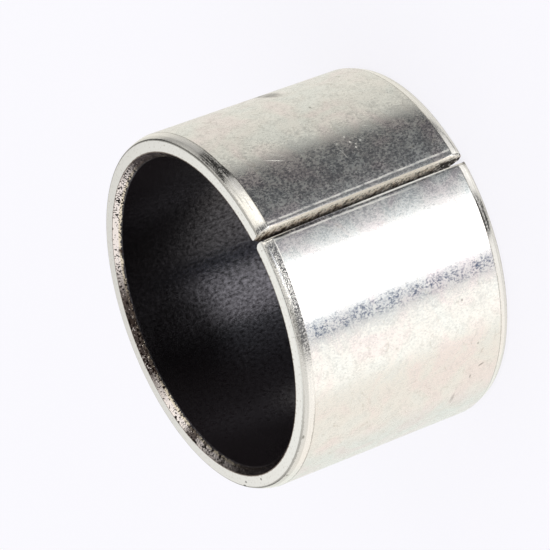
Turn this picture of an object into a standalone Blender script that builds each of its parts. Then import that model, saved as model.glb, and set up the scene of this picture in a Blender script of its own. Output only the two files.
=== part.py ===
"""A wrapped dry bearing bush: a short split tube, made by rolling one bonded strip.

The strip is steel with a layer of sintered bronze and a thin black sliding layer, all
bonded, so the bush is a single piece. It is modelled the way it is made. A flat blank is
chamfered along its two long edges and sheared to length, which leaves sloping faces with
rolled-over corners. It is then wrapped round until the two sheared faces meet at the joint.

The bush stands on its lower end face, with its axis up +Z, the origin at the middle of that
face and the joint on the -Y side. All sizes are in metres.
"""
import math

import bmesh
import bpy
from mathutils import Vector

# The size that the bush is sold by: bore, wall and length
BORE_DIAMETER = 0.0200
WALL = 0.0015
LENGTH = 0.0150

# Turned chamfers at both ends: a long shallow one outside, which leads the bush into its
# housing, and a short steep one inside, which leads the shaft in
OUTER_CHAMFER_LENGTH = 0.00070
OUTER_CHAMFER_ANGLE = math.radians(20)
INNER_CHAMFER_LENGTH = 0.00046
INNER_CHAMFER_ANGLE = math.radians(43)

# The joint: the sheared faces stand this far apart at their closest, next to the bore, and
# slope away from each other towards the outside. The blank is sheared a little out of square,
# so the joint runs this much aslant along the bush
JOINT_GAP = 0.00020
JOINT_FACE_SLOPE = math.radians(5)
JOINT_SLANT = math.radians(1.2)

# Corners of the sheared ends: rolled over a little outside, and rounded more at the bore,
# where the joint is deburred so that it can't scrape the shaft
JOINT_OUTER_ROUND = 0.00018
JOINT_INNER_ROUND = 0.00025

# Fineness of the mesh: flats round the bush, steps across each rounded corner, and the angle
# above which an edge is drawn sharp, which lies between a step's and a chamfer's
FLATS = 144
ROUND_STEPS = 6
SHARP_ANGLE = math.radians(17)

# Sizes worked out from the ones above
BORE_RADIUS = BORE_DIAMETER / 2
MIDDLE_RADIUS = BORE_RADIUS + WALL / 2
OUTER_CHAMFER_DEPTH = OUTER_CHAMFER_LENGTH * math.tan(OUTER_CHAMFER_ANGLE)
INNER_CHAMFER_DEPTH = INNER_CHAMFER_LENGTH * math.tan(INNER_CHAMFER_ANGLE)
FACE_RUN = WALL * math.tan(JOINT_FACE_SLOPE)
GAP_ANGLE = JOINT_GAP / BORE_RADIUS
BLANK_LENGTH = MIDDLE_RADIUS * (2 * math.pi - GAP_ANGLE)

# The order of the bush's material slots
STEEL, BRONZE, SLIDING = range(3)


def clear_scene():
    for old in list(bpy.data.objects):
        bpy.data.objects.remove(old)


def make_material(name, colour, roughness, metallic):
    material = bpy.data.materials.new(name)
    material.use_nodes = True
    shader = material.node_tree.nodes["Principled BSDF"]
    shader.inputs["Base Color"].default_value = (*colour, 1.0)
    shader.inputs["Roughness"].default_value = roughness
    shader.inputs["Metallic"].default_value = metallic
    material.diffuse_color = (*colour, 1.0)
    return material


def layer_materials():
    return [
        make_material("tinned_steel", (0.74, 0.73, 0.70), 0.28, 1.0),
        make_material("sintered_bronze", (0.42, 0.27, 0.17), 0.45, 1.0),
        make_material("black_sliding_layer", (0.025, 0.024, 0.024), 0.45, 0.0),
    ]


def strip_section():
    """The strip's section with both long edges chamfered, as (height in the wall, place
    along the bush) pairs. Height 0 is the sliding face, which becomes the bore."""
    lower_half = [
        (0, INNER_CHAMFER_LENGTH),
        (INNER_CHAMFER_DEPTH, 0),
        (WALL - OUTER_CHAMFER_DEPTH, 0),
        (WALL, OUTER_CHAMFER_LENGTH),
    ]
    upper_half = [(height, LENGTH - along) for height, along in reversed(lower_half)]
    return lower_half + upper_half


def flat_blank():
    """The blank before it is wrapped: X runs along the strip, Y is the height in the wall,
    with the sliding face at 0, and Z runs along the bush."""
    blank = bmesh.new()
    start = -BLANK_LENGTH / 2
    section = blank.faces.new([blank.verts.new((start, height, along)) for height, along in strip_section()])
    swept = bmesh.ops.extrude_face_region(blank, geom=[section])
    far_end = [item for item in swept["geom"] if isinstance(item, bmesh.types.BMVert)]
    bmesh.ops.translate(blank, verts=far_end, vec=(BLANK_LENGTH, 0, 0))
    bmesh.ops.recalc_face_normals(blank, faces=blank.faces)
    return blank


def slope_sheared_ends(blank):
    """Leans each sheared end back, so that the joint is a V that is open outwards, and turns
    both ends the same way out of square."""
    for vert in blank.verts:
        vert.co.x -= math.copysign(FACE_RUN * vert.co.y / WALL, vert.co.x)
        vert.co.x += (vert.co.z - LENGTH / 2) * math.tan(JOINT_SLANT)


def sheared_end_edges(blank, height):
    """The edges round the two sheared ends that reach a height in the wall."""
    ends = [face for face in blank.faces if abs(face.normal.x) > abs(face.normal.y) + abs(face.normal.z)]
    edges = {edge for face in ends for edge in face.edges}
    return [edge for edge in edges if any(abs(vert.co.y - height) < WALL / 1000 for vert in edge.verts)]


def round_sheared_corners(blank):
    for height, radius in ((WALL, JOINT_OUTER_ROUND), (0, JOINT_INNER_ROUND)):
        bmesh.ops.bevel(
            blank,
            geom=sheared_end_edges(blank, height),
            offset=radius,
            offset_type="OFFSET",
            segments=ROUND_STEPS,
            profile=0.5,
            affect="EDGES",
            material=-1,
        )


def cut_into_flats(blank):
    """Cuts the blank across at even steps, clear of its shaped ends, so that it can bend."""
    step = BLANK_LENGTH / FLATS
    shaped_end = FACE_RUN + JOINT_INNER_ROUND + LENGTH / 2 * math.tan(JOINT_SLANT)
    for number in range(1, FLATS):
        place = number * step - BLANK_LENGTH / 2
        if BLANK_LENGTH / 2 - abs(place) < shaped_end + step / 4:
            continue
        everything = list(blank.verts) + list(blank.edges) + list(blank.faces)
        bmesh.ops.bisect_plane(blank, geom=everything, plane_co=(place, 0, 0), plane_no=(1, 0, 0))


def paint_layers(blank):
    """The bore is the black sliding layer. The chamfers and rounded corners along it are cut
    through the bronze under that layer, and the rest is the tinned steel back."""
    for face in blank.faces:
        face.material_index = STEEL
        if face.calc_center_median().y < INNER_CHAMFER_DEPTH:
            is_bore = abs(face.normal.y) > math.cos(SHARP_ANGLE / 2)
            face.material_index = SLIDING if is_bore else BRONZE


def wrap(blank):
    """Bends the blank into a tube about +Z, with its middle at +Y and its ends at -Y."""
    for vert in blank.verts:
        angle = vert.co.x / MIDDLE_RADIUS
        radius = BORE_RADIUS + vert.co.y
        vert.co = Vector((radius * math.sin(angle), radius * math.cos(angle), vert.co.z))


def wrapped_bush():
    blank = flat_blank()
    slope_sheared_ends(blank)
    round_sheared_corners(blank)
    cut_into_flats(blank)
    paint_layers(blank)
    wrap(blank)
    bmesh.ops.recalc_face_normals(blank, faces=blank.faces)

    mesh = bpy.data.meshes.new("wrapped_bush")
    blank.to_mesh(mesh)
    blank.free()
    for material in layer_materials():
        mesh.materials.append(material)
    mesh.shade_smooth()
    mesh.set_sharp_from_angle(angle=SHARP_ANGLE)
    bush = bpy.data.objects.new("wrapped_bush", mesh)
    bpy.context.scene.collection.objects.link(bush)
    return bush


clear_scene()
wrapped_bush()
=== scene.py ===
# %% [markdown]
# # A wrapped dry bearing bush
# The object is a short split tube, about as wide as a coin, that is pressed into a housing so
# that a shaft can turn in it without oil. It is rolled from one bonded strip: a tinned steel
# back, a thin layer of sintered bronze, and a black sliding layer that becomes the bore.
#
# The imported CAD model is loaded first. Everything that follows is built round it, in metres,
# in the same frame: the bush stands on its end, with its axis up +Z and its joint towards -Y.

import math

import bmesh
import bpy
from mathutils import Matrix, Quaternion, Vector


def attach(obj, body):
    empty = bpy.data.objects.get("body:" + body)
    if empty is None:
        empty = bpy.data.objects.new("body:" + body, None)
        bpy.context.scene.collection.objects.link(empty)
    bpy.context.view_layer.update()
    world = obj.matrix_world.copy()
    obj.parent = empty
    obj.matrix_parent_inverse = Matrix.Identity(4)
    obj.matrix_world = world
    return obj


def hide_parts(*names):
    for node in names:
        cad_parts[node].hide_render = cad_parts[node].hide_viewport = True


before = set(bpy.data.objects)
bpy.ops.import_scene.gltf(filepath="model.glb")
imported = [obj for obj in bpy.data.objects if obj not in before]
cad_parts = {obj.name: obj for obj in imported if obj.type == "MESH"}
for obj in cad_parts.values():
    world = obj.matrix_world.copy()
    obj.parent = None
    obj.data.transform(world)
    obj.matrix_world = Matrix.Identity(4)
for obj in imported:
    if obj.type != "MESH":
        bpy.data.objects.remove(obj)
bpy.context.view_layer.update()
print("packed nodes:", sorted(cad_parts))

# %% [markdown]
# ## Sizes
# A bush like this is sold by three numbers: bore, outside diameter and length. The others are
# the turned chamfers that lead the bush into its housing and the shaft into the bush, and the
# shape of the joint where the two sheared ends of the strip meet.

# %% Sizes of the bush
MM = 0.001
BORE_RADIUS = 10 * MM
WALL = 1.5 * MM
LENGTH = 15 * MM
MIDDLE_RADIUS = BORE_RADIUS + WALL / 2

OUTER_CHAMFER_LENGTH = 0.70 * MM
OUTER_CHAMFER_DEPTH = OUTER_CHAMFER_LENGTH * math.tan(math.radians(20))
INNER_CHAMFER_LENGTH = 0.46 * MM
INNER_CHAMFER_DEPTH = INNER_CHAMFER_LENGTH * math.tan(math.radians(43))

JOINT_GAP = 0.20 * MM
JOINT_SLANT = math.radians(1.2)
FACE_RUN = WALL * math.tan(math.radians(5))
JOINT_OUTER_ROUND = 0.18 * MM
JOINT_INNER_ROUND = 0.25 * MM
BLUNTER_INNER_ROUND = 0.40 * MM
BLANK_LENGTH = MIDDLE_RADIUS * (2 * math.pi - JOINT_GAP / BORE_RADIUS)
print("flat blank:", round(BLANK_LENGTH / MM, 2), "mm long")

# %% [markdown]
# ## The camera
# It stands where the photographer's camera stood, seen from the bush: a little to the side of
# the joint and above the rim. The bush lies on its side in the photograph and stands on its
# end here, so the camera is rolled to match. Its long lens gives the same weak perspective.

# %% Camera
CAMERA_AZIMUTH = math.radians(-16.63)
CAMERA_ELEVATION = math.radians(27.02)
CAMERA_ROLL = math.radians(-110.43)
CAMERA_DISTANCE = 232.5 * MM
AIM = Vector((0.689, -0.206, 9.287)) * MM
# a camera's sensor and lens are given in millimetres, as on a real one
SENSOR_WIDTH = 36
LENS = 245.6
CLIP_START = 10 * MM

backwards = Vector((
    math.sin(CAMERA_AZIMUTH) * math.cos(CAMERA_ELEVATION),
    -math.cos(CAMERA_AZIMUTH) * math.cos(CAMERA_ELEVATION),
    math.sin(CAMERA_ELEVATION),
))
camera = bpy.data.objects.new("camera", bpy.data.cameras.new("camera"))
bpy.context.scene.collection.objects.link(camera)
camera.data.sensor_width = SENSOR_WIDTH
camera.data.lens = LENS
camera.data.clip_start = CLIP_START
camera.location = AIM + backwards * CAMERA_DISTANCE
camera.rotation_mode = "QUATERNION"
level = (-backwards).to_track_quat("-Z", "Y")
camera.rotation_quaternion = level @ Quaternion((0, 0, 1), CAMERA_ROLL)
bpy.context.scene.camera = camera
bpy.context.scene.view_settings.view_transform = "Standard"
print("camera at", [round(value, 4) for value in camera.location])

# %% [markdown]
# ## The flat blank
# The real bush starts as a flat strip, so the mesh does too. A tube could be spun instead, but
# a spun tube has no sheared ends to meet at a joint. The section of the strip is one face:
# ten corners, with both long edges chamfered. The outer chamfers get a low ridge half way,
# because the turning tool leaves them slightly crowned, and the two sides of the ridge mirror
# different parts of the room. The corners are broken by a small bevel, as a turned edge is not
# perfectly sharp. Only the two corners of the inner chamfer are left keen. The ends of the
# strip get a rounding there that is larger than such a bevel, and would fold over it. The
# section is extruded along the strip.

# %% Section and blank
EDGE_BREAK = 0.035 * MM
FACE_CORNER_ROUND = 0.10 * MM
BREAK_STEPS = 4
SAME_PLACE = 0.001 * MM
RIDGE_PLACE = 0.32 * MM
RIDGE_RISE = 0.022 * MM
RIDGE_ROUND = 0.07 * MM
RIDGE_HEIGHT = WALL - OUTER_CHAMFER_DEPTH * (1 - RIDGE_PLACE / OUTER_CHAMFER_LENGTH) + RIDGE_RISE

lower_half = [
    (0, INNER_CHAMFER_LENGTH),
    (INNER_CHAMFER_DEPTH, 0),
    (WALL - OUTER_CHAMFER_DEPTH, 0),
    (RIDGE_HEIGHT, RIDGE_PLACE),
    (WALL, OUTER_CHAMFER_LENGTH),
]
upper_half = [(height, LENGTH - along) for height, along in reversed(lower_half)]
blank_start = -BLANK_LENGTH / 2

blank = bmesh.new()
corners = [blank.verts.new((blank_start, height, along)) for height, along in lower_half + upper_half]
blank.faces.new(corners)


def soften_corners(height, offset):
    """Rounds the section's two corners that lie at this height in the wall."""
    chosen = [vert for vert in blank.verts if abs(vert.co.y - height) < SAME_PLACE]
    bmesh.ops.bevel(
        blank,
        geom=chosen,
        offset=offset,
        offset_type="OFFSET",
        segments=BREAK_STEPS,
        profile=0.5,
        affect="VERTICES",
        material=-1,
    )


soften_corners(WALL - OUTER_CHAMFER_DEPTH, FACE_CORNER_ROUND)
soften_corners(RIDGE_HEIGHT, RIDGE_ROUND)
soften_corners(WALL, EDGE_BREAK)

swept = bmesh.ops.extrude_face_region(blank, geom=list(blank.faces))
far_end = [item for item in swept["geom"] if isinstance(item, bmesh.types.BMVert)]
bmesh.ops.translate(blank, verts=far_end, vec=(BLANK_LENGTH, 0, 0))
bmesh.ops.recalc_face_normals(blank, faces=blank.faces)
print("section corners:", len(far_end))

# %% [markdown]
# ## The sheared ends
# The press shears the strip to length. Each cut leans back a little and rolls its corners
# over. The lean makes the joint a narrow V, open outwards. The corners at the bore are
# deburred by hand, one side more than the other.

# %% Lean and round the sheared ends
ROUND_STEPS = 6

for vert in blank.verts:
    vert.co.x -= math.copysign(FACE_RUN * vert.co.y / WALL, vert.co.x)


def round_end_edges(side, lowest, highest, radius):
    """Rounds the edges of one sheared end whose middles lie between two heights in the wall."""
    blank.normal_update()
    ends = [face for face in blank.faces if face.normal.x * side > 0.9]
    edges = {edge for face in ends for edge in face.edges}
    chosen = [edge for edge in edges if lowest <= (edge.verts[0].co.y + edge.verts[1].co.y) / 2 <= highest]
    bmesh.ops.bevel(
        blank,
        geom=chosen,
        offset=radius,
        offset_type="OFFSET",
        segments=ROUND_STEPS,
        profile=0.5,
        affect="EDGES",
        material=-1,
    )
    return len(chosen)


back_corners_from = WALL - OUTER_CHAMFER_DEPTH + FACE_CORNER_ROUND
bore_corners_to = INNER_CHAMFER_DEPTH * 0.9
for side, inner_round in ((1, JOINT_INNER_ROUND), (-1, BLUNTER_INNER_ROUND)):
    rounded_outside = round_end_edges(side, back_corners_from, WALL, JOINT_OUTER_ROUND)
    rounded_inside = round_end_edges(side, 0, bore_corners_to, inner_round)
    print("edges rounded on side", side, ":", rounded_outside, "outside,", rounded_inside, "inside")

# %% [markdown]
# ## Flats
# A flat strip can only bend where it has edges to bend at. A few cuts near each end mark off
# the shaped corners and leave fine steps beside them. The long edges between the last two
# cuts are divided evenly. That gives one clean ring of quads, at about one degree each, so
# the outline and the reflections stay smooth.

# %% Divide the strip
FLATS = 348
SHAPED_END = FACE_RUN + JOINT_OUTER_ROUND + 0.01 * MM
FINE_STEP = 0.09 * MM
FINE_STEPS = 8

fine_places = [-blank_start - SHAPED_END - step * FINE_STEP for step in range(FINE_STEPS)]
for place in fine_places + [-place for place in fine_places]:
    everything = list(blank.verts) + list(blank.edges) + list(blank.faces)
    bmesh.ops.bisect_plane(blank, geom=everything, plane_co=(place, 0, 0), plane_no=(1, 0, 0))

long_edges = [edge for edge in blank.edges if edge.calc_length() > BLANK_LENGTH / 2]
bmesh.ops.subdivide_edges(blank, edges=long_edges, cuts=FLATS - 1)
print("flats:", FLATS, "each", round(2 * fine_places[-1] / FLATS / MM, 3), "mm long")

# %% [markdown]
# ## The last bend
# A press can't curl the very ends of a strip as tightly as the rest. The back beside the
# joint stays a narrow facet that dips towards the gap, and it catches its own light. The
# strip was also sheared a little out of square, so the joint runs aslant along the bush. One
# side stood a little proud when the rim was turned, and its chamfer came out wider there.

# %% Dip the edges of the joint and slant the strip
FACET_WIDTH = 0.40 * MM
FACET_DIP = 0.024 * MM
WIDER_CHAMFER = 0.16 * MM
WIDER_FROM = 28.4 * MM
WIDER_FULL = 30.2 * MM

facet_start = -blank_start - FACE_RUN - FACET_WIDTH
for vert in blank.verts:
    into_facet = (abs(vert.co.x) - facet_start) / FACET_WIDTH
    if into_facet > 0 and vert.co.y > WALL / 2:
        vert.co.y -= FACET_DIP * min(into_facet, 1) * (vert.co.y / WALL)
    if vert.co.z > LENGTH / 2 and vert.co.x > WIDER_FROM:
        reach = min((vert.co.x - WIDER_FROM) / (WIDER_FULL - WIDER_FROM), 1)
        up_chamfer = (vert.co.y - WALL + OUTER_CHAMFER_DEPTH) / OUTER_CHAMFER_DEPTH
        vert.co.z -= WIDER_CHAMFER * reach * min(max(up_chamfer, 0), 1)
    vert.co.x += (vert.co.z - LENGTH / 2) * math.tan(JOINT_SLANT)
print("joint drifts", round(LENGTH * math.tan(JOINT_SLANT) / MM, 2), "mm along the bush")

# %% [markdown]
# ## Strip coordinates
# Stains, scratches and turning marks follow the strip, and not the space round the bush. So
# each point keeps its place on the flat strip, in millimetres, before the strip is wrapped:
# X along the strip, Y up through the wall from the sliding face, and Z along the bush. The
# materials read that attribute, and their scales are then real sizes.

# %% Keep each point's place on the flat strip
strip_layer = blank.verts.layers.float_vector.new("strip_mm")
for vert in blank.verts:
    vert[strip_layer] = vert.co / MM
print("strip runs from", round(min(v.co.x for v in blank.verts) / MM, 2), "mm")

# %% [markdown]
# ## Zones
# Five finishes meet on the bush: the plated back, its turned chamfers, the two end faces, the
# cut faces of the joint, and the lining that shows in the bore and on the inner chamfers.

# %% Give each face its finish
PLATED_BACK, TURNED_CHAMFER, END_FACE, SHEARED_FACE, LINING = range(5)
# a face's normal tells what it is by how far it points along the strip or along the bush
ALONG_STRIP = 0.7
ALONG_BUSH = 0.86
A_LITTLE_ALONG_BUSH = 0.1

blank.normal_update()
for face in blank.faces:
    normal = face.normal
    middle = face.calc_center_median()
    face.smooth = True
    if abs(normal.x) > ALONG_STRIP:
        face.material_index = SHEARED_FACE
    elif middle.y < INNER_CHAMFER_DEPTH:
        face.material_index = LINING
    elif abs(normal.z) > ALONG_BUSH:
        face.material_index = END_FACE
    elif abs(normal.z) > A_LITTLE_ALONG_BUSH:
        face.material_index = TURNED_CHAMFER
    else:
        face.material_index = PLATED_BACK
for zone in range(5):
    print("faces of finish", zone, ":", sum(face.material_index == zone for face in blank.faces))

# %% [markdown]
# ## Wrapping
# A press bends the strip round a mandrel until its ends meet. The middle of the wall keeps its
# length, so a place along the strip becomes an angle on the middle radius. Edges that bend
# more than 24 degrees are shaded as sharp, and the rest as smooth.

# %% Wrap the strip into a bush
SHARP_FROM = math.radians(24)

for vert in blank.verts:
    angle = vert.co.x / MIDDLE_RADIUS
    radius = BORE_RADIUS + vert.co.y
    vert.co = Vector((radius * math.sin(angle), radius * math.cos(angle), vert.co.z))
bmesh.ops.recalc_face_normals(blank, faces=blank.faces)

bush_mesh = bpy.data.meshes.new("rolled_bush")
blank.to_mesh(bush_mesh)
blank.free()
bush_mesh.set_sharp_from_angle(angle=SHARP_FROM)
rolled_bush = bpy.data.objects.new("rolled_bush", bush_mesh)
bpy.context.scene.collection.objects.link(rolled_bush)
print("bush faces:", len(bush_mesh.polygons))
print("bush size, mm:", [round(side / MM, 2) for side in rolled_bush.dimensions])

# %% [markdown]
# ## Helpers for the materials
# Colours are written as the hex values that a paint program shows, and one function turns
# them into the linear values that the shaders work with. Another adds a node, sets it and
# joins its inputs, so that each material reads as a list of what it is made of.

# %% Colours and nodes
def linear(hex_colour, strength=1.0):
    """An sRGB hex colour as linear RGBA, made brighter or darker by the strength."""
    channels = [int(hex_colour[place:place + 2], 16) / 255 for place in (1, 3, 5)]
    channels = [c / 12.92 if c <= 0.04045 else ((c + 0.055) / 1.055) ** 2.4 for c in channels]
    return [channel * strength for channel in channels] + [1.0]


def fill(tree, node, inputs):
    """Gives a node its inputs by name or number: a value, a socket, or a node's first output."""
    for place, value in inputs.items():
        if isinstance(value, bpy.types.Node):
            value = value.outputs[0]
        if isinstance(value, bpy.types.NodeSocket):
            tree.links.new(value, node.inputs[place])
        else:
            node.inputs[place].default_value = value


def add(tree, kind, inputs, **settings):
    """Adds a node with its settings and its inputs."""
    node = tree.nodes.new(kind)
    for name, value in settings.items():
        setattr(node, name, value)
    fill(tree, node, inputs)
    return node


def new_material(name):
    """An empty material with its surface shader and its place on the flat strip in millimetres."""
    material = bpy.data.materials.new(name)
    material.use_nodes = True
    tree = material.node_tree
    shader = tree.nodes["Principled BSDF"]
    strip = add(tree, "ShaderNodeAttribute", {}, attribute_name="strip_mm").outputs["Vector"]
    return material, tree, shader, strip


print("mid grey is", [round(channel, 3) for channel in linear("#808080")])

# %% [markdown]
# ## Masks
# Wear and painted light are drawn with masks: numbers between 0 and 1 that are worked out from
# the place on the strip. A mask fades in with a distance, several masks are put together, and
# then colours or roughnesses are laid over the clean one like coats of paint, each where its mask is
# strong.

# %% Masks and layers
def fade(tree, value, outside, inside):
    """A mask that is 0 where the value is past `outside`, and 1 where it is past `inside`."""
    return add(tree, "ShaderNodeMapRange", {
        "Value": value, 1: outside, 2: inside,
    }, interpolation_type="SMOOTHSTEP")


def any_of(tree, mask, *others):
    """The largest of several masks: strong where any of them is."""
    for other in others:
        mask = add(tree, "ShaderNodeMath", {0: mask, 1: other}, operation="MAXIMUM")
    return mask


def all_of(tree, mask, *others):
    """The product of several masks: strong only where all are. A plain number scales it."""
    for other in others:
        mask = add(tree, "ShaderNodeMath", {0: mask, 1: other}, operation="MULTIPLY")
    return mask


def layered(tree, base, *layers):
    """A number or a colour with others laid over it in turn, each where its mask is strong."""
    if isinstance(base, bpy.types.Node):
        base = base.outputs[0]
    in_colour = isinstance(base, list) or getattr(base, "type", "VALUE") == "RGBA"
    data_type, under, over, result = ("RGBA", 6, 7, 2) if in_colour else ("FLOAT", 2, 3, 0)
    for mask, value in layers:
        mixed = add(tree, "ShaderNodeMix", {0: mask, under: base, over: value}, data_type=data_type)
        base = mixed.outputs[result]
    return base


# %% [markdown]
# ## Marks
# A scratch, a pit or a stain is a small ellipse on the strip. It is a scaled and turned ball,
# cut by the surface, so it needs no picture and no second set of coordinates. A mark on the
# back is a ball drawn out right through the wall, and one on an end face lies flat on it.

# %% Scratches and pits
# in millimetres, and far more than the bush measures
RIGHT_ACROSS = 1000


def spot(tree, strip, centre, turned, half_sizes, strength):
    """A mask inside an ellipsoid on the strip, with an edge soft from 0.6 to 1.3 of its size."""
    placed = add(tree, "ShaderNodeMapping", {
        "Vector": strip, "Location": centre, "Rotation": turned, "Scale": half_sizes,
    }, vector_type="TEXTURE")
    away = add(tree, "ShaderNodeVectorMath", {0: placed}, operation="LENGTH").outputs["Value"]
    return add(tree, "ShaderNodeMapRange", {"Value": away, 1: 1.3, 2: 0.6, 3: 0.0, 4: strength})


def mark(tree, strip, along, across, length, width, turn=0.0, strength=1.0):
    """A scratch or pit on the back, centred at X, Z on the strip; turn is in degrees from X."""
    turned = (0, math.radians(turn), 0)
    return spot(tree, strip, (along, 0, across), turned, (length / 2, RIGHT_ACROSS, width / 2), strength)


def end_mark(tree, strip, along, height, length, width, strength):
    """A pit on the upper end face, centred at X, Y on the strip."""
    centre = (along, height, LENGTH / MM)
    return spot(tree, strip, centre, (0, 0, 0), (length / 2, width / 2, 1.0), strength)


# %% [markdown]
# ## Lines and distances
# Some wear and painted light follow the shape. Dark lines run along edges, at one height in
# the wall: painted shade on the outer edges, the bronze's own colour at the inner one. The
# painted highlights on the joint's creases keep their distance from the sheared ends.

# %% Lines along the edges and the joint
def edge_line(tree, strip, height, half_width, noise):
    """A ragged line that runs round the bush at one height in the wall."""
    place = add(tree, "ShaderNodeSeparateXYZ", {"Vector": strip})
    away = add(tree, "ShaderNodeMath", {0: place.outputs["Y"], 1: height}, operation="SUBTRACT")
    away = add(tree, "ShaderNodeMath", {0: away}, operation="ABSOLUTE")
    wander = add(tree, "ShaderNodeMath", {
        0: noise, 1: half_width * 3, 2: -half_width * 1.5,
    }, operation="MULTIPLY_ADD")
    away = add(tree, "ShaderNodeMath", {0: away, 1: wander}, operation="ADD")
    return fade(tree, away, half_width * 1.3, half_width * 0.7)


def below_joint(tree, strip):
    """1 on the last stretch of the strip, below the joint, and 0 on the rest."""
    place = add(tree, "ShaderNodeSeparateXYZ", {"Vector": strip})
    return fade(tree, place.outputs["X"], -20.0, -26.0)


def from_joint(tree, strip):
    """How far a place on the strip lies from the nearer sheared end, in millimetres."""
    place = add(tree, "ShaderNodeSeparateXYZ", {"Vector": strip})
    slant = math.tan(JOINT_SLANT)
    shift = add(tree, "ShaderNodeMath", {
        0: place.outputs["Z"], 1: -slant, 2: slant * LENGTH / 2 / MM,
    }, operation="MULTIPLY_ADD")
    square = add(tree, "ShaderNodeMath", {0: place.outputs["X"], 1: shift}, operation="ADD")
    square = add(tree, "ShaderNodeMath", {0: square}, operation="ABSOLUTE")
    half_strip = BLANK_LENGTH / 2 / MM
    return add(tree, "ShaderNodeMath", {0: half_strip, 1: square}, operation="SUBTRACT")


# %% [markdown]
# ## Plated back
# The back of the strip is cold-rolled steel with a flash of tin, a few thousandths of a
# millimetre thick. It is smooth enough to mirror the room, and handling leaves pale clouds a
# few millimetres wide. Fine pits of the rolled grain scatter the light: where they lie close,
# the mirror turns to a grey haze. The real pits are a few hundredths of a millimetre across.
# Here they are an eighth of a millimetre, so that they show, and longer along the bush, as
# the rolls left them.

# %% Tin-plated rolled steel: tint and haze
CLOUDS_PER_MM = 0.38
PITS_PER_MM = (8.0, 8.0, 5.0)
PATCHES_PER_MM = 1.3

plated_steel, tree, shader, strip = new_material("tin_plated_rolled_steel")
clouds = add(tree, "ShaderNodeTexNoise", {
    "Vector": strip, "Scale": CLOUDS_PER_MM, "Detail": 2.0, "Roughness": 0.55, "Distortion": 0.9,
})
tint = add(tree, "ShaderNodeValToRGB", {"Fac": clouds})
tint.color_ramp.elements[0].position = 0.36
tint.color_ramp.elements[0].color = linear("#e7e8e3")
tint.color_ramp.elements[1].position = 0.64
tint.color_ramp.elements[1].color = linear("#ebe3df")
tint.color_ramp.elements.new(0.5).color = linear("#e9e7e1")

pits_place = add(tree, "ShaderNodeVectorMath", {0: strip, 1: PITS_PER_MM}, operation="MULTIPLY")
pits = add(tree, "ShaderNodeTexNoise", {
    "Vector": pits_place, "Scale": 1.0, "Detail": 4.0, "Roughness": 0.7, "Distortion": 0.5,
})
patches = add(tree, "ShaderNodeTexNoise", {
    "Vector": strip, "Scale": PATCHES_PER_MM, "Detail": 3.0, "Roughness": 0.6,
})
worn = layered(tree, pits, (0.3, patches))
haze = add(tree, "ShaderNodeMapRange", {"Value": worn, 1: 0.38, 2: 0.63, 3: 0.09, 4: 0.46})
soiled = all_of(tree, fade(tree, worn, 0.45, 0.62), 0.2)
print("pits on the back, mm:", [1 / count for count in PITS_PER_MM])

# %% [markdown]
# A painted highlight runs along the crease of the last bend on both sides of the joint, and
# painted highlights lie on the two rounded lips, cream on the upper one. Below the joint a dark
# line of painted shade runs beside the lip. All of them follow the joint, so they are drawn by
# their distance from it, and a soft noise makes them wander.

# %% The painted highlight along the crease beside the joint
CREASE_AT_START = 0.56
CREASE_AT_END = 0.40
CREASE_WANDERS = 0.10
CLOSER_BELOW = 0.10

gap = from_joint(tree, strip)
below = below_joint(tree, strip)
place = add(tree, "ShaderNodeSeparateXYZ", {"Vector": strip})
wobble = add(tree, "ShaderNodeTexNoise", {"Vector": strip, "Scale": 0.8, "Detail": 4.0, "Roughness": 0.7})
crease_at = add(tree, "ShaderNodeMapRange", {
    "Value": place.outputs["Z"], 1: 0.0, 2: LENGTH / MM, 3: CREASE_AT_START, 4: CREASE_AT_END,
})
crease_at = add(tree, "ShaderNodeMath", {
    0: wobble, 1: CREASE_WANDERS, 2: crease_at,
}, operation="MULTIPLY_ADD")
crease_at = add(tree, "ShaderNodeMath", {
    0: below, 1: -CLOSER_BELOW, 2: crease_at,
}, operation="MULTIPLY_ADD")
from_crease = add(tree, "ShaderNodeMath", {0: gap, 1: crease_at}, operation="SUBTRACT")
from_crease = add(tree, "ShaderNodeMath", {0: from_crease}, operation="ABSOLUTE")
near_half = fade(tree, place.outputs["Z"], 2.5, 7.0)
# painted highlight: a pale line along the crease beside the joint, on both sides
crease_highlight = all_of(
    tree,
    fade(tree, from_crease, 0.085, 0.015),
    0.8,
    fade(tree, patches, 0.20, 0.55),
    layered(tree, 1.0, (below, near_half)),
)

# %% Painted highlights on the lips, painted shade on the facet and along the fold
FOLD_AT = 0.28

far_half = fade(tree, place.outputs["Z"], 9.5, 7.5)
# painted highlights on the two rounded lips of the joint, cream on the upper one
lip_highlight = all_of(tree, fade(tree, gap, 0.27, 0.20), layered(tree, 1.0, (below, far_half)))
upper_lip_highlight = layered(tree, lip_highlight, (below, 0.0))
pale_highlight_and_scratch = layered(tree, linear("#fcf9f0"), (upper_lip_highlight, linear("#f0e6d2")))
# painted shade: the facet above the joint is painted darker grey
facet_shade = all_of(tree, fade(tree, gap, 0.52, 0.44), layered(tree, 0.4, (below, 0.0)))

# painted shade: a dark line beside the lip below the joint
from_fold = add(tree, "ShaderNodeMath", {0: gap, 1: FOLD_AT}, operation="SUBTRACT")
from_fold = add(tree, "ShaderNodeMath", {0: from_fold}, operation="ABSOLUTE")
fold_shade = all_of(tree, fade(tree, from_fold, 0.07, 0.03), fade(tree, wobble, 0.38, 0.52), below, 0.5)
print("crease from", CREASE_AT_START, "to", CREASE_AT_END, "mm from the joint, fold at", FOLD_AT, "mm")

# %% [markdown]
# The few deeper scratches and pits are placed one by one, where a handled bush gets them.
# Each row gives the place along the strip and across it, the length, the width, the turn in
# degrees and the strength, with all lengths in millimetres.

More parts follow.
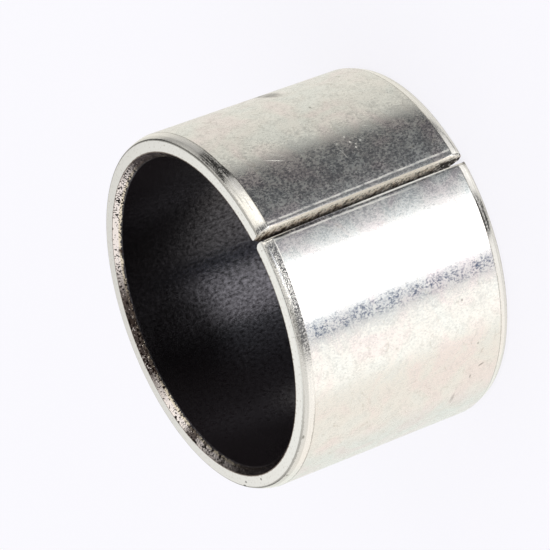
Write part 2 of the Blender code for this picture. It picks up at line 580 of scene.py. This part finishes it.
# %% Scratches and pits of the back
BRIGHT_SCRATCHES = (
    (29.72, 11.26, 1.15, 0.07, 66, 1.0),
    (29.30, 11.0, 1.5, 0.035, 60, 0.5),
    (29.45, 10.9, 1.4, 0.03, 60, 0.4),
    (30.9, 7.08, 0.9, 0.04, 10, 0.6),
    (-32.65, 14.26, 1.9, 0.08, 0, 0.9),
    (29.5, 4.6, 0.35, 0.05, 66, 0.8),
    (30.10, 7.02, 0.12, 0.10, 0, 0.7),
    (29.80, 6.30, 0.12, 0.10, 0, 0.9),
    (30.28, 6.20, 0.14, 0.12, 0, 1.0),
    (30.74, 6.09, 0.14, 0.12, 0, 1.0),
    (30.38, 5.54, 0.12, 0.10, 0, 0.9),
    (30.52, 5.95, 0.10, 0.10, 0, 0.8),
)
DARK_PITS = (
    (22.0, 6.6, 2.6, 1.0, 0, 0.8),
    (-33.40, 13.6, 0.50, 1.4, 0, 0.9),
    (26.41, 6.35, 0.25, 0.12, 0, 0.6),
    (-29.70, 7.59, 0.10, 0.14, 0, 0.5),
    (-31.26, 11.71, 0.16, 0.16, 0, 0.3),
    (-26.21, 3.41, 0.16, 0.14, 0, 0.6),
    (-23.07, 2.40, 0.14, 0.14, 0, 0.5),
    (-21.33, 1.97, 0.14, 0.45, 20, 0.6),
    (-20.63, 2.66, 0.30, 0.10, 0, 0.6),
    (-19.03, 3.57, 0.9, 0.25, 0, 0.35),
)

scratches = any_of(tree, *[mark(tree, strip, *row) for row in BRIGHT_SCRATCHES])
pitted = any_of(tree, *[mark(tree, strip, *row) for row in DARK_PITS])
print("marks on the back:", len(BRIGHT_SCRATCHES), "bright,", len(DARK_PITS), "dark")

# %% [markdown]
# Old drops of oil have left faint dry rings: thin lines of equal value in a soft noise. Then
# everything is laid over the plating: the wear, the painted shade and the painted highlights.
# A bright scratch shows bare metal that scatters light all round. The scratches and the painted
# highlights are made less metallic, so they stay pale where the back mirrors something dark.

# %% Lay the wear and the painted light over the plating
DROPS_PER_MM = 0.45

drops = add(tree, "ShaderNodeTexNoise", {
    "Vector": strip, "Scale": DROPS_PER_MM, "Detail": 2.0, "Roughness": 0.5, "Distortion": 1.5,
})
from_ring = add(tree, "ShaderNodeMath", {0: drops, 1: 0.5}, operation="SUBTRACT")
from_ring = add(tree, "ShaderNodeMath", {0: from_ring}, operation="ABSOLUTE")
ring = all_of(tree, fade(tree, from_ring, 0.010, 0.002), fade(tree, patches, 0.46, 0.60), 0.28)
# the painted highlights on the crease and the lips, with the real bright scratches
highlights_and_scratches = any_of(tree, crease_highlight, all_of(tree, lip_highlight, 0.85), scratches)
shade = layered(
    tree,
    tint,
    (soiled, linear("#a3a39f")),
    (ring, linear("#a89f8e")),
    (facet_shade, linear("#8d8a85")),
    (highlights_and_scratches, pale_highlight_and_scratch),
    (any_of(tree, pitted, fold_shade), linear("#6b6862")),
)
fill(tree, shader, {
    "Base Color": shade,
    "Metallic": layered(tree, 1.0, (highlights_and_scratches, 0.35)),
    "Roughness": layered(tree, haze, (highlights_and_scratches, 0.5)),
    "Normal": add(tree, "ShaderNodeBump", {"Height": worn, "Distance": 0.0028 * MM, "Strength": 1.0}),
})
print(plated_steel.name, "nodes:", len(tree.nodes))

# %% [markdown]
# ## Turned chamfers
# The long outer chamfers are turned, so fine rings run round them under the plating. Small
# torn specks between the rings scatter the light, more of them where the tool began to
# chatter. The real rings are finer than the render can show, so they are drawn about a
# sixteenth of a millimetre apart.

# %% Turned and plated chamfer: rings and specks
RINGS_PER_MM = (0.5, 16.0, 16.0)
SPECKS_PER_MM = 9.0

plated_chamfer, tree, shader, strip = new_material("tin_plated_turned_chamfer")
rings_place = add(tree, "ShaderNodeVectorMath", {0: strip, 1: RINGS_PER_MM}, operation="MULTIPLY")
rings = add(tree, "ShaderNodeTexNoise", {"Vector": rings_place, "Scale": 1.0, "Detail": 2.0})
specks = add(tree, "ShaderNodeTexNoise", {
    "Vector": strip, "Scale": SPECKS_PER_MM, "Detail": 2.0, "Roughness": 0.6,
})
place = add(tree, "ShaderNodeSeparateXYZ", {"Vector": strip})
chatter = all_of(tree, below_joint(tree, strip), fade(tree, place.outputs["Z"], 7.0, 8.0))
share_of_specks = layered(tree, 0.35, (chatter, 0.85))
worn = layered(tree, rings, (share_of_specks, specks))
haze = add(tree, "ShaderNodeMapRange", {"Value": worn, 1: 0.42, 2: 0.66, 3: 0.08, 4: 0.44})
relief = all_of(tree, worn, layered(tree, 0.2, (chatter, 1.0)))
print("rings", 1 / RINGS_PER_MM[2], "mm apart")

# %% [markdown]
# Ragged dark lines of painted shade mark both edges of the chamfer, with two short dark marks
# near its edge by the end face. The side of the ridge next to the end face is painted a little
# darker, as shade. One bright streak near the joint is a painted highlight.

# %% Painted shade on the edges and on one side, and a painted highlight
FACE_EDGE = (WALL - OUTER_CHAMFER_DEPTH) / MM
BACK_EDGE = WALL / MM
RIDGE = RIDGE_HEIGHT / MM

# painted shade: ragged dark lines along both edges of the chamfer
edge_shade_lines = any_of(
    tree,
    edge_line(tree, strip, FACE_EDGE, 0.035, specks),
    edge_line(tree, strip, BACK_EDGE, 0.015, specks),
)
edge_shade_lines = any_of(
    tree,
    all_of(tree, edge_shade_lines, layered(tree, 0.6, (chatter, 0.1))),
    mark(tree, strip, -16.7, 14.83, 0.25, 0.15, 0, 0.8),
    mark(tree, strip, -20.87, 14.85, 0.3, 0.15, 0, 0.8),
)
ringed = add(tree, "ShaderNodeMapRange", {"Value": rings, 1: 0.3, 2: 0.55, 3: 0.12, 4: 0.0})
# painted shade: the side of the ridge next to the end face is painted darker
face_side_shade = fade(tree, place.outputs["Y"], RIDGE + 0.01, RIDGE - 0.01)
# painted highlight: one bright streak on the chamfer near the joint
streak_highlight = all_of(tree, mark(tree, strip, -31.5, 14.72, 2.9, 0.11), fade(tree, specks, 0.36, 0.46))
shade = layered(
    tree,
    linear("#f2efe9"),
    (face_side_shade, linear("#dedbd4")),
    (ringed, linear("#a09c94")),
    (edge_shade_lines, linear("#8b8880")),
    (streak_highlight, linear("#ffffff")),
)
fill(tree, shader, {
    "Base Color": shade,
    "Metallic": 1.0,
    "Roughness": layered(tree, haze, (streak_highlight, 0.3)),
    "Normal": add(tree, "ShaderNodeBump", {"Height": relief, "Distance": 0.012 * MM, "Strength": 1.0}),
})
print(plated_chamfer.name, "nodes:", len(tree.nodes))

# %% [markdown]
# ## End faces
# The end faces are cut square and keep a fine matt finish, so they look evenly pale. Painted
# light makes them a touch paler on one side. The grain is drawn a sixth of a millimetre wide,
# coarser than the real one, so that it shows.

# %% Matt end face: painted light on one side, and grain
PALEST_TOWARDS = 0.72
GRAIN_PER_MM = 6.0

matt_face, tree, shader, strip = new_material("matt_plated_end_face")
place = add(tree, "ShaderNodeSeparateXYZ", {"Vector": strip})
# painted light: a smooth swell round the rim paints one side of the end face paler
round_the_rim = add(tree, "ShaderNodeMath", {
    0: place.outputs["X"], 1: MM / MIDDLE_RADIUS, 2: -PALEST_TOWARDS,
}, operation="MULTIPLY_ADD")
light_swell = add(tree, "ShaderNodeMath", {0: round_the_rim}, operation="COSINE")
painted_light_side = add(tree, "ShaderNodeMapRange", {"Value": light_swell, 1: 1.0, 2: -1.0})
fine = add(tree, "ShaderNodeTexNoise", {
    "Vector": strip, "Scale": GRAIN_PER_MM, "Detail": 4.0, "Roughness": 0.7,
})
print("palest", round(math.degrees(PALEST_TOWARDS)) + 180, "degrees round from opposite the joint")

# %% [markdown]
# A dark line of painted shade along the outer edge and the thin edge of the bronze leave dark,
# broken outlines along the face's two edges, and three small pits lie close together on one
# side. A row gives a pit's place along the strip and its height in the wall, its length, its
# width and its strength.

# %% Outlines and pits of the end face
END_PITS = (
    (-11.18, 1.2, 0.34, 0.18, 1.0),
    (-11.45, 0.9, 0.2, 0.14, 0.9),
    (-13.58, 0.71, 0.2, 0.14, 0.8),
)

# painted shade: a ragged dark line along the outer edge of the end face
edge_shade_lines = edge_line(tree, strip, FACE_EDGE - 0.04, 0.045, fine)
edge_shade_lines = all_of(tree, edge_shade_lines, layered(tree, 0.7, (below_joint(tree, strip), 0.1)))
bronze_edge = edge_line(tree, strip, INNER_CHAMFER_DEPTH / MM, 0.06, fine)
pitted = any_of(tree, *[end_mark(tree, strip, *row) for row in END_PITS])
shade = layered(
    tree,
    linear("#dddbd5"),
    (painted_light_side, linear("#f0efe9")),
    (fade(tree, fine, 0.44, 0.30), linear("#b5afa3")),
    (edge_shade_lines, linear("#8b8880")),
    (bronze_edge, linear("#75685c")),
    (pitted, linear("#4a4540")),
)
fill(tree, shader, {
    "Base Color": shade,
    "Metallic": 1.0,
    "Roughness": 0.42,
    "Normal": add(tree, "ShaderNodeBump", {"Height": fine, "Distance": 0.004 * MM, "Strength": 1.0}),
})
print(matt_face.name, "nodes:", len(tree.nodes))

# %% [markdown]
# ## Sheared faces
# A sheared face is torn rather than cut: grey steel above and brown bronze below, scored
# slantwise by the blade, with a bright rolled lip. The scores are about a quarter of a
# millimetre wide and twice as long. Their noise is added to the height in the wall, so that
# each metal has a torn edge, and a ramp gives each height its colour, with painted shade that
# deepens towards the bore.

# %% Sheared steel and bronze: the torn bands and painted shade
SCORES_PER_MM = (3.0, 2.2, 4.0)
SCORES_TURN = math.radians(18)
TORN_COLOURS_AND_SHADE = ((0.14, "#8a7563"), (0.26, "#b8a48f"), (0.38, "#d9c9b4"), (0.50, "#efe4d3"))

sheared_metal, tree, shader, strip = new_material("sheared_steel_and_bronze")
place = add(tree, "ShaderNodeSeparateXYZ", {"Vector": strip})
torn = add(tree, "ShaderNodeMapping", {
    "Vector": strip, "Rotation": (SCORES_TURN, 0, 0), "Scale": SCORES_PER_MM,
})
scores = add(tree, "ShaderNodeTexNoise", {"Vector": torn, "Scale": 1.0, "Detail": 4.0, "Roughness": 0.75})
wander = add(tree, "ShaderNodeMath", {0: scores, 1: 3.4, 2: -1.7}, operation="MULTIPLY_ADD")
height = add(tree, "ShaderNodeMath", {0: place.outputs["Y"], 1: wander}, operation="ADD")
depth = add(tree, "ShaderNodeMapRange", {"Value": height, 1: 0.2, 2: 1.5, 3: 0.0, 4: 1.0})
# the ramp paints shade that deepens towards the bore over the colours of the steel and bronze
tear_and_shade = add(tree, "ShaderNodeValToRGB", {"Fac": depth})
tear_and_shade.color_ramp.elements[0].position = 0.0
tear_and_shade.color_ramp.elements[0].color = linear("#56463a")
tear_and_shade.color_ramp.elements[1].position = 0.72
tear_and_shade.color_ramp.elements[1].color = linear("#fff9ec")
for position, hex_colour in TORN_COLOURS_AND_SHADE:
    tear_and_shade.color_ramp.elements.new(position).color = linear(hex_colour)
print("torn bands:", len(tear_and_shade.color_ramp.elements))

# %% [markdown]
# Painted shade darkens the colour deep in the joint, in the chips between the scores and at the
# far tip, and takes away almost all reflection there. A few crumbs of bright metal hang at the
# far end: the cells of a Voronoi pattern, cut down to small round grains.

# %% Painted shade and crumbs in the joint
CHIPS_PER_MM = (4.0, 2.4, 4.6)
CRUMBS_PER_MM = (3.0, 3.4, 6.5)

chips_place = add(tree, "ShaderNodeVectorMath", {0: strip, 1: CHIPS_PER_MM}, operation="MULTIPLY")
chips = add(tree, "ShaderNodeTexNoise", {
    "Vector": chips_place, "Scale": 1.0, "Detail": 4.0, "Roughness": 0.75,
})
# painted shade in the chips, at the far tip and deep in the joint: dark colour and almost no reflection
shade_in_chips = all_of(tree, fade(tree, chips, 0.49, 0.44), fade(tree, place.outputs["Y"], 1.5, 1.15), 0.85)
far_tip = all_of(tree, fade(tree, place.outputs["Z"], 2.0, 1.4), fade(tree, place.outputs["Y"], 1.2, 1.0))
shade_height = add(tree, "ShaderNodeMath", {
    0: wander, 1: 0.35, 2: place.outputs["Y"],
}, operation="MULTIPLY_ADD")
shade_deep_in_joint = all_of(tree, fade(tree, shade_height, 0.90, 0.40), 0.94)
painted_joint_shade = any_of(tree, shade_in_chips, far_tip, shade_deep_in_joint)

crumbs_place = add(tree, "ShaderNodeVectorMath", {0: strip, 1: CRUMBS_PER_MM}, operation="MULTIPLY")
cells = add(tree, "ShaderNodeTexVoronoi", {"Vector": crumbs_place, "Scale": 1.0})
crumbs = all_of(tree, fade(tree, cells, 0.38, 0.28), far_tip)
out_of_painted_shade = all_of(tree, fade(tree, depth, 0.02, 0.25), layered(tree, 1.0, (painted_joint_shade, 0.1)))
fill(tree, shader, {
    "Base Color": layered(tree, tear_and_shade, (painted_joint_shade, linear("#33281f")), (crumbs, linear("#fff8f0"))),
    "Metallic": 0.1,
    "Roughness": 0.5,
    "Specular IOR Level": all_of(tree, any_of(tree, out_of_painted_shade, crumbs), 0.5),
    "Normal": add(tree, "ShaderNodeBump", {"Height": scores, "Distance": 0.05 * MM, "Strength": 1.0}),
})
print(sheared_metal.name, "nodes:", len(tree.nodes))

# %% [markdown]
# ## Lining
# The lining is one bonded sandwich. Where it is whole, in the bore, only the black sliding
# layer shows: a fluoropolymer filled with solid lubricant, satin and slightly leathery. The
# inner chamfer cuts through it, and shows the sintered bronze below, whose grains are about
# 0.12 mm across, with open pores between them.

# %% Where the chamfer cuts through, and the grains
GRAINS_PER_MM = 8.0
SMEARS_PER_MM = 0.6

lining, tree, shader, strip = new_material("black_sliding_layer_on_sintered_bronze")
place = add(tree, "ShaderNodeSeparateXYZ", {"Vector": strip})
edge_noise = add(tree, "ShaderNodeTexNoise", {
    "Vector": strip, "Scale": 5.0, "Detail": 4.0, "Roughness": 0.75,
})
ragged = add(tree, "ShaderNodeMapRange", {"Value": edge_noise, 1: 0.40, 2: 0.66, 3: 0.0, 4: 0.10})
height = add(tree, "ShaderNodeMath", {0: place.outputs["Y"], 1: ragged}, operation="SUBTRACT")
cut_through = fade(tree, height, 0.015, 0.03)

grains = add(tree, "ShaderNodeTexVoronoi", {"Vector": strip, "Scale": GRAINS_PER_MM})
pores = add(tree, "ShaderNodeTexNoise", {
    "Vector": strip, "Scale": GRAINS_PER_MM, "Detail": 2.0, "Roughness": 0.6,
})
smears = add(tree, "ShaderNodeTexNoise", {
    "Vector": strip, "Scale": SMEARS_PER_MM, "Detail": 4.0, "Roughness": 0.65,
})
print("bronze grains:", 1 / GRAINS_PER_MM, "mm across")

# %% [markdown]
# In places the black layer is smeared over the bronze, and only the proudest grains stay
# bare. One stretch of the rim shows more pores than the rest, and one beside it fewer. Each
# such stretch is a mark that runs right across the strip: its middle, its length, and how
# strong it is or how far it opens the pores.

# %% Smears and open pores
SMEARED = ((3.4, 8.2, 0.95), (19.6, 4.6, 0.95), (-4.8, 1.4, 0.9), (-13.5, 9.5, 0.92))
PORE_STRETCHES = ((15.0, 5.0, 0.12), (10.4, 3.6, -0.10))

between = add(tree, "ShaderNodeMath", {0: smears, 1: 0.6, 2: grains}, operation="MULTIPLY_ADD")
for along, length, opens in PORE_STRETCHES:
    stretch = mark(tree, strip, along, 0, length, RIGHT_ACROSS)
    between = add(tree, "ShaderNodeMath", {0: stretch, 1: opens, 2: between}, operation="MULTIPLY_ADD")
open_pores = fade(tree, between, 0.92, 1.0)

smeared = fade(tree, smears, 0.54, 0.62)
for along, length, strength in SMEARED:
    smeared = any_of(tree, smeared, mark(tree, strip, along, 0, length, RIGHT_ACROSS, 0, strength))
smeared = all_of(tree, smeared, fade(tree, pores, 0.68, 0.60))
bronze = layered(
    tree,
    linear("#f0e6e0"),
    (fade(tree, place.outputs["Y"], 0.22, 0.12), linear("#e4d8c2")),
    (smeared, linear("#4a3e38")),
    (open_pores, linear("#1c1512")),
)
print("smeared stretches:", len(SMEARED))

# %% [markdown]
# The sliding layer is leathery: soft cells, longer along the bush, some glossier than others.
# Painted shade takes away part of its sheen in the middle of the near end, and paints it a
# deeper black on one side.

# %% Black sliding layer
CELLS_PER_MM = (4.6, 4.6, 3.2)

cells_place = add(tree, "ShaderNodeVectorMath", {0: strip, 1: CELLS_PER_MM}, operation="MULTIPLY")
leather = add(tree, "ShaderNodeTexNoise", {
    "Vector": cells_place, "Scale": 1.0, "Detail": 3.5, "Roughness": 0.65,
})
gloss = add(tree, "ShaderNodeMapRange", {"Value": leather, 1: 0.36, 2: 0.64, 3: 1.0, 4: 0.2})
# painted shade: less sheen in the middle of the near end
sheen_shaded_away = mark(tree, strip, 1.8, 11.9, 8.0, 6.2)
# painted shade: one side of the bore is painted a deeper black
bore_side_shade = mark(tree, strip, 6.0, 0, 17.0, RIGHT_ACROSS)
black = layered(tree, linear("#211d1f"), (bore_side_shade, linear("#0e0c0d")))
relief = layered(tree, leather, (cut_through, all_of(tree, pores, 1.9)))
fill(tree, shader, {
    "Base Color": layered(tree, black, (cut_through, bronze)),
    "Metallic": cut_through,
    "Roughness": layered(tree, 0.21, (cut_through, 0.2)),
    "Specular IOR Level": all_of(tree, gloss, layered(tree, 1.0, (sheen_shaded_away, 0.25))),
    "Specular Tint": linear("#fbf8ff"),
    "Normal": add(tree, "ShaderNodeBump", {"Height": relief, "Distance": 0.013 * MM, "Strength": 1.0}),
})
print(lining.name, "nodes:", len(tree.nodes))

# %% [markdown]
# ## Putting the finishes on
# The faces already know their finish by number, so the materials only have to go into the
# mesh in the same order. The finished bush rides on the part's one body and takes the place
# of the plain CAD mesh.

# %% Put the finishes on the bush
for material in (plated_steel, plated_chamfer, matt_face, sheared_metal, lining):
    bush_mesh.materials.append(material)
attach(rolled_bush, "root")
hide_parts("wrapped_bush")
print("finishes:", len(bush_mesh.materials))

# %% [markdown]
# ## The studio
# Polished metal has no look of its own: it shows the room. The room is a white dome with a
# few cards in it, each a patch of the dome with a place, a size and a brightness. So a card
# can be put just where one facet of the bush mirrors it. The camera and the floor see plain
# white.

# %% A card on the dome
world = bpy.data.worlds.new("studio")
bpy.context.scene.world = world
world.use_nodes = True
tree = world.node_tree
direction = add(tree, "ShaderNodeTexCoord", {}).outputs["Generated"]
toward = add(tree, "ShaderNodeSeparateXYZ", {"Vector": direction})
azimuth = add(tree, "ShaderNodeMath", {0: toward.outputs["Y"], 1: toward.outputs["X"]}, operation="ARCTAN2")
azimuth = add(tree, "ShaderNodeMath", {0: azimuth}, operation="DEGREES")
elevation = add(tree, "ShaderNodeMath", {0: toward.outputs["Z"]}, operation="ARCSINE")
elevation = add(tree, "ShaderNodeMath", {0: elevation}, operation="DEGREES")


def card(light, azimuth_middle, half_width, elevation_middle, half_height, softness, colour, strength):
    """Lays a card over the dome: places and sizes in degrees, with a soft edge of this width."""
    aside = add(tree, "ShaderNodeMath", {0: azimuth, 1: azimuth_middle}, operation="SUBTRACT")
    aside = add(tree, "ShaderNodeMath", {0: aside, 1: 180.0, 2: -180.0}, operation="WRAP")
    aside = add(tree, "ShaderNodeMath", {0: aside}, operation="ABSOLUTE")
    above = add(tree, "ShaderNodeMath", {0: elevation, 1: elevation_middle}, operation="SUBTRACT")
    above = add(tree, "ShaderNodeMath", {0: above}, operation="ABSOLUTE")
    inside = all_of(
        tree,
        fade(tree, aside, half_width + softness / 2, half_width - softness / 2),
        fade(tree, above, half_height + softness / 2, half_height - softness / 2),
    )
    return layered(tree, light, (inside, linear(colour, strength)))


# %% [markdown]
# The camera looks down at 27 degrees, so the upright back mirrors what lies 27 degrees below
# the horizon. The chamfers lean by 20 degrees and mirror places 40 degrees higher or lower.
# The inner chamfer faces all ways, and mirrors an arc that climbs overhead. Each row of the
# list is a card: azimuth, half width, elevation, half height and softness in degrees, then
# colour and strength. A later card covers an earlier one.

# %% Hang the cards
CARDS = (
    # mirrored by the back
    (20, 50, -27, 26, 30, "#fffdf6", 0.91),
    (-8, 14, -27, 26, 16, "#fffdf6", 0.82),
    (166, 44, -27, 26, 30, "#fffaf4", 1.06),
    (103, 20, -27, 20, 16, "#fcfffb", 0.95),
    (-160, 20, -27, 26, 14, "#fffdfb", 1.3),
    (-54, 29.5, -27, 22, 18, "#eff2ff", 0.097),
    (-80, 12, -27, 22, 16, "#eff4ff", 0.35),
    (-91, 5, -27, 22, 8, "#f2f9ff", 0.74),
    (-139, 6.0, -27, 18, 5, "#a6c4fb", 0.27),
    (-113.5, 16, -27, 20, 8, "#fcfbff", 3.1),
    # mirrored by the upper chamfer
    (6, 24, -3, 9, 20, "#ffffff", 0.45),
    (-21.5, 14.7, 1, 13, 6, "#ffffff", 0.03),
    (-59, 12, 5, 12, 8, "#fffdf8", 1.55),
    (-112, 40, 6, 9, 8, "#f0f4ff", 0.14),
    (-113, 36, 23, 8, 8, "#ffffff", 0.34),
    (-106, 11, 26, 9, 6, "#ffffff", 0.85),
    (-85, 8, 19, 10, 6, "#f0f4ff", 0.2),
    (-107, 14, 14, 1.3, 1.5, "#ffffff", 6.5),
    # mirrored by the bronze of the inner chamfer
    (-108, 62, 76, 15.5, 5, "#ffffff", 0.03),
    (-60, 12, 65, 4, 4, "#ffffff", 0.22),
    (-32, 11, 57, 7, 6, "#fffdf8", 1.5),
    (104, 14, 7, 8, 10, "#ffffff", 0.15),
    (12, 22, 34, 16, 8, "#ffffff", 0.25),
    (-7, 5, 46, 6, 4, "#ffffff", 0.06),
    (39, 18, 13, 13, 8, "#ffffff", 0.06),
    # mirrored by the lower chamfer
    (-110, 20, -69, 14, 8, "#ffffff", 0.04),
    (-62, 11, -69, 10, 8, "#ffffff", 1.35),
    (-24, 8, -62, 12, 8, "#ffffff", 0.35),
)
PAPER_WHITE = "#fbfaff"

light = linear("#ffffff")
for row in CARDS:
    light = card(light, *row)

ray = add(tree, "ShaderNodeLightPath", {})
studio_light = add(tree, "ShaderNodeBackground", {"Color": light, "Strength": 1.0})
plain_white = add(tree, "ShaderNodeBackground", {"Color": linear(PAPER_WHITE), "Strength": 1.0})
seen = add(tree, "ShaderNodeMixShader", {
    0: ray.outputs["Is Camera Ray"], 1: studio_light, 2: plain_white,
})
fill(tree, tree.nodes["World Output"], {"Surface": seen})
print("cards on the dome:", len(CARDS))

# %% [markdown]
# ## The floor
# A wide white floor under the bush takes its faint shadow. Only the camera sees it: the light
# from below comes from the white dome, as it does from a white table. Most of the floor's
# white is its own, and a small share of it is lit, so the shadow darkens only that share.

# %% Floor
FLOOR_RADIUS = 3.0

floor_mesh = bpy.data.meshes.new("floor")
floor_shape = bmesh.new()
bmesh.ops.create_circle(floor_shape, cap_ends=True, radius=FLOOR_RADIUS, segments=96)
floor_shape.to_mesh(floor_mesh)
floor_shape.free()
floor = bpy.data.objects.new("floor", floor_mesh)
bpy.context.scene.collection.objects.link(floor)
floor.visible_diffuse = False
floor.visible_glossy = False
floor.visible_transmission = False
floor.visible_shadow = False
print("floor:", 2 * FLOOR_RADIUS, "m across")

# %% White paper for the floor
SHADOW_SHARE = 0.2
LIGHT_ON_FLOOR = 0.85

paper = bpy.data.materials.new("white_paper")
paper.use_nodes = True
tree = paper.node_tree
own_white = 1 - SHADOW_SHARE * LIGHT_ON_FLOOR
lit = add(tree, "ShaderNodeBsdfDiffuse", {"Color": linear(PAPER_WHITE, SHADOW_SHARE)})
glow = add(tree, "ShaderNodeEmission", {"Color": linear(PAPER_WHITE), "Strength": own_white})
white = add(tree, "ShaderNodeAddShader", {0: lit, 1: glow})
fill(tree, tree.nodes["Material Output"], {"Surface": white})
floor_mesh.materials.append(paper)
print("own white of the floor:", own_white)
